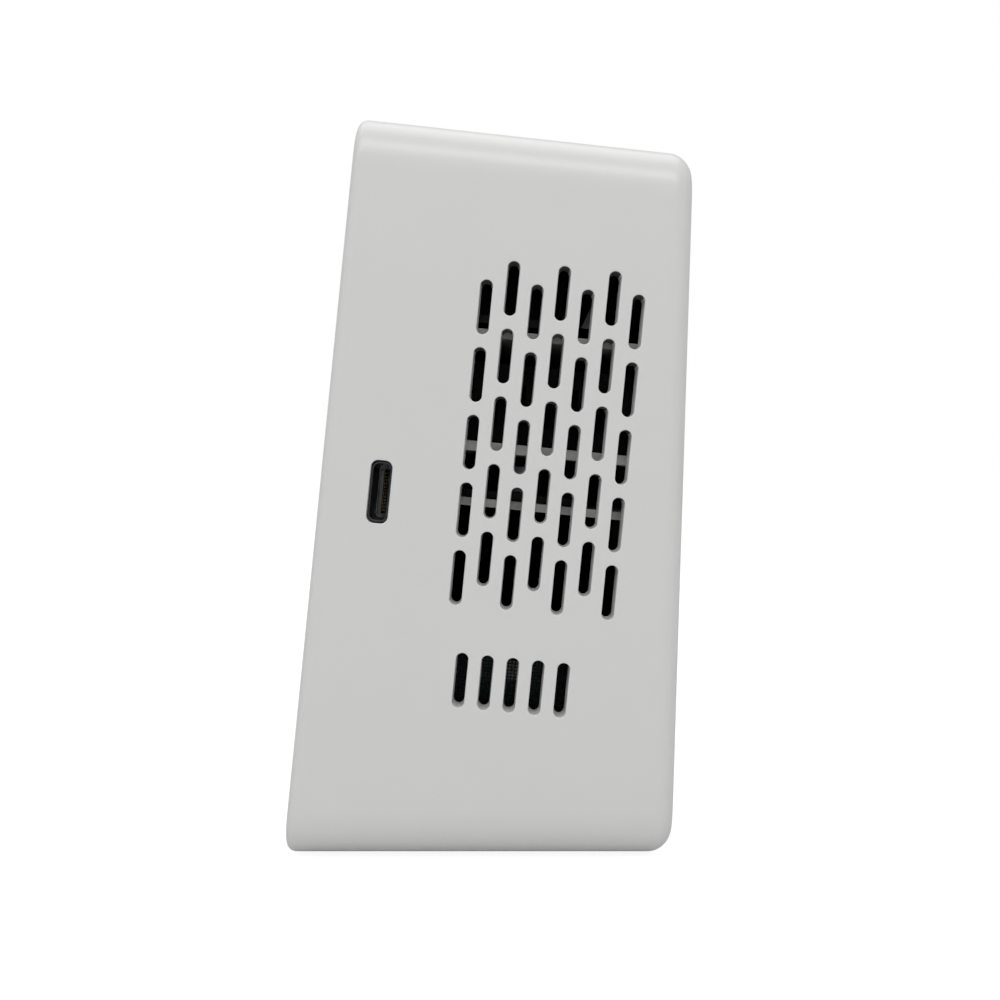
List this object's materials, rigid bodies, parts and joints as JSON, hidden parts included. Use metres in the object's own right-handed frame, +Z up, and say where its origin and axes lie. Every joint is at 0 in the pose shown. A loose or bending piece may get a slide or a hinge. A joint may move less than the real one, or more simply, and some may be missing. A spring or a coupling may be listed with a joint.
{
  "type": "air quality monitor",
  "caption": "Desktop air quality monitor: a white wedge-shaped plastic housing with a leaning front display, side vent slots, a side charging port and rear push buttons.",
  "frame": {"origin": "middle of the bounding box's base, on the surface the feet stand on", "axes": "+Z up, -Y towards the display, +X towards the side with the charging port"},
  "size_m": [0.11, 0.061, 0.1119],
  "materials": {
    "white_abs": "fine textured",
    "black_abs": "satin",
    "smoked_acrylic": "polished",
    "tape": "matte",
    "lcd_glass": "polished",
    "diffuser": "satin",
    "polyimide": "satin",
    "green_laminate": "solder mask",
    "blue_laminate": "solder mask",
    "purple_laminate": "solder mask",
    "dark_shell": "black nickel",
    "chip_resin": "matte",
    "can_steel": "tinned",
    "plug_nylon": "natural",
    "pouch_foil": "satin",
    "foam": "matte",
    "red_pvc": "satin",
    "white_pvc": "satin",
    "brass": "turned",
    "gold_plate": "plated",
    "ptfe": "matte",
    "white_resin": "satin",
    "mesh_weave": "woven",
    "silicone": "matte",
    "zinc_steel": "zinc plated",
    "red_resin": "satin"
  },
  "bodies": {
    "housing": {"rear_housing": "white_abs", "front_frame": "black_abs", "display_window": "smoked_acrylic", "window_tape": "tape", "lcd_panel": "lcd_glass", "backlight_panel": "diffuser", "lcd_ribbon": "polyimide", "main_board": "green_laminate", "usb_socket": "dark_shell", "usb_tongue": "black_abs", "controller_chip": "chip_resin", "radio_module": "can_steel", "power_parts": "chip_resin", "buzzer": "black_abs", "board_plugs": "plug_nylon", "battery": "pouch_foil", "battery_pad": "foam", "battery_lead": "red_pvc", "sensor_carrier": "white_abs", "divider_foam": "foam", "particle_case": "black_abs", "particle_lid": "black_abs", "particle_board": "blue_laminate", "laser_module": "brass", "fan_motor": "zinc_steel", "particle_lead": "white_pvc", "co2_board": "blue_laminate", "co2_chamber": "gold_plate", "co2_membrane": "ptfe", "gas_board": "purple_laminate", "gas_sensor": "can_steel", "formaldehyde_board": "green_laminate", "formaldehyde_sensor": "white_resin", "climate_shroud": "black_abs", "climate_board": "green_laminate", "climate_chip": "white_resin", "mesh_right": "mesh_weave", "mesh_left": "mesh_weave", "button_board": "green_laminate", "power_switch": "black_abs", "mode_switch": "black_abs", "button_lead": "white_pvc", "feet": "silicone", "housing_screws": "zinc_steel", "board_screws": "zinc_steel", "carrier_screws": "zinc_steel", "button_screws": "zinc_steel"},
    "power_button": {"power_button": "white_abs", "power_plunger": "red_resin"},
    "mode_button": {"mode_button": "white_abs", "mode_plunger": "red_resin"},
    "fan_rotor": {"fan_rotor": "black_abs"}
  },
  "joints": [
    {"name": "power_press", "type": "slide", "parent": "housing", "child": "power_button", "axis": [0, -0.9995, 0.0314], "range_m": [0, 0.0005], "stiffness_N_per_m": 2000},
    {"name": "mode_press", "type": "slide", "parent": "housing", "child": "mode_button", "axis": [0, -0.9995, 0.0314], "range_m": [0, 0.0005], "stiffness_N_per_m": 2000},
    {"name": "fan_spin", "type": "hinge", "parent": "housing", "child": "fan_rotor", "pos_m": [0.024, 0.00971, 0.06379], "axis": [0, 0.0993, 0.9951], "continuous": true}
  ]
}
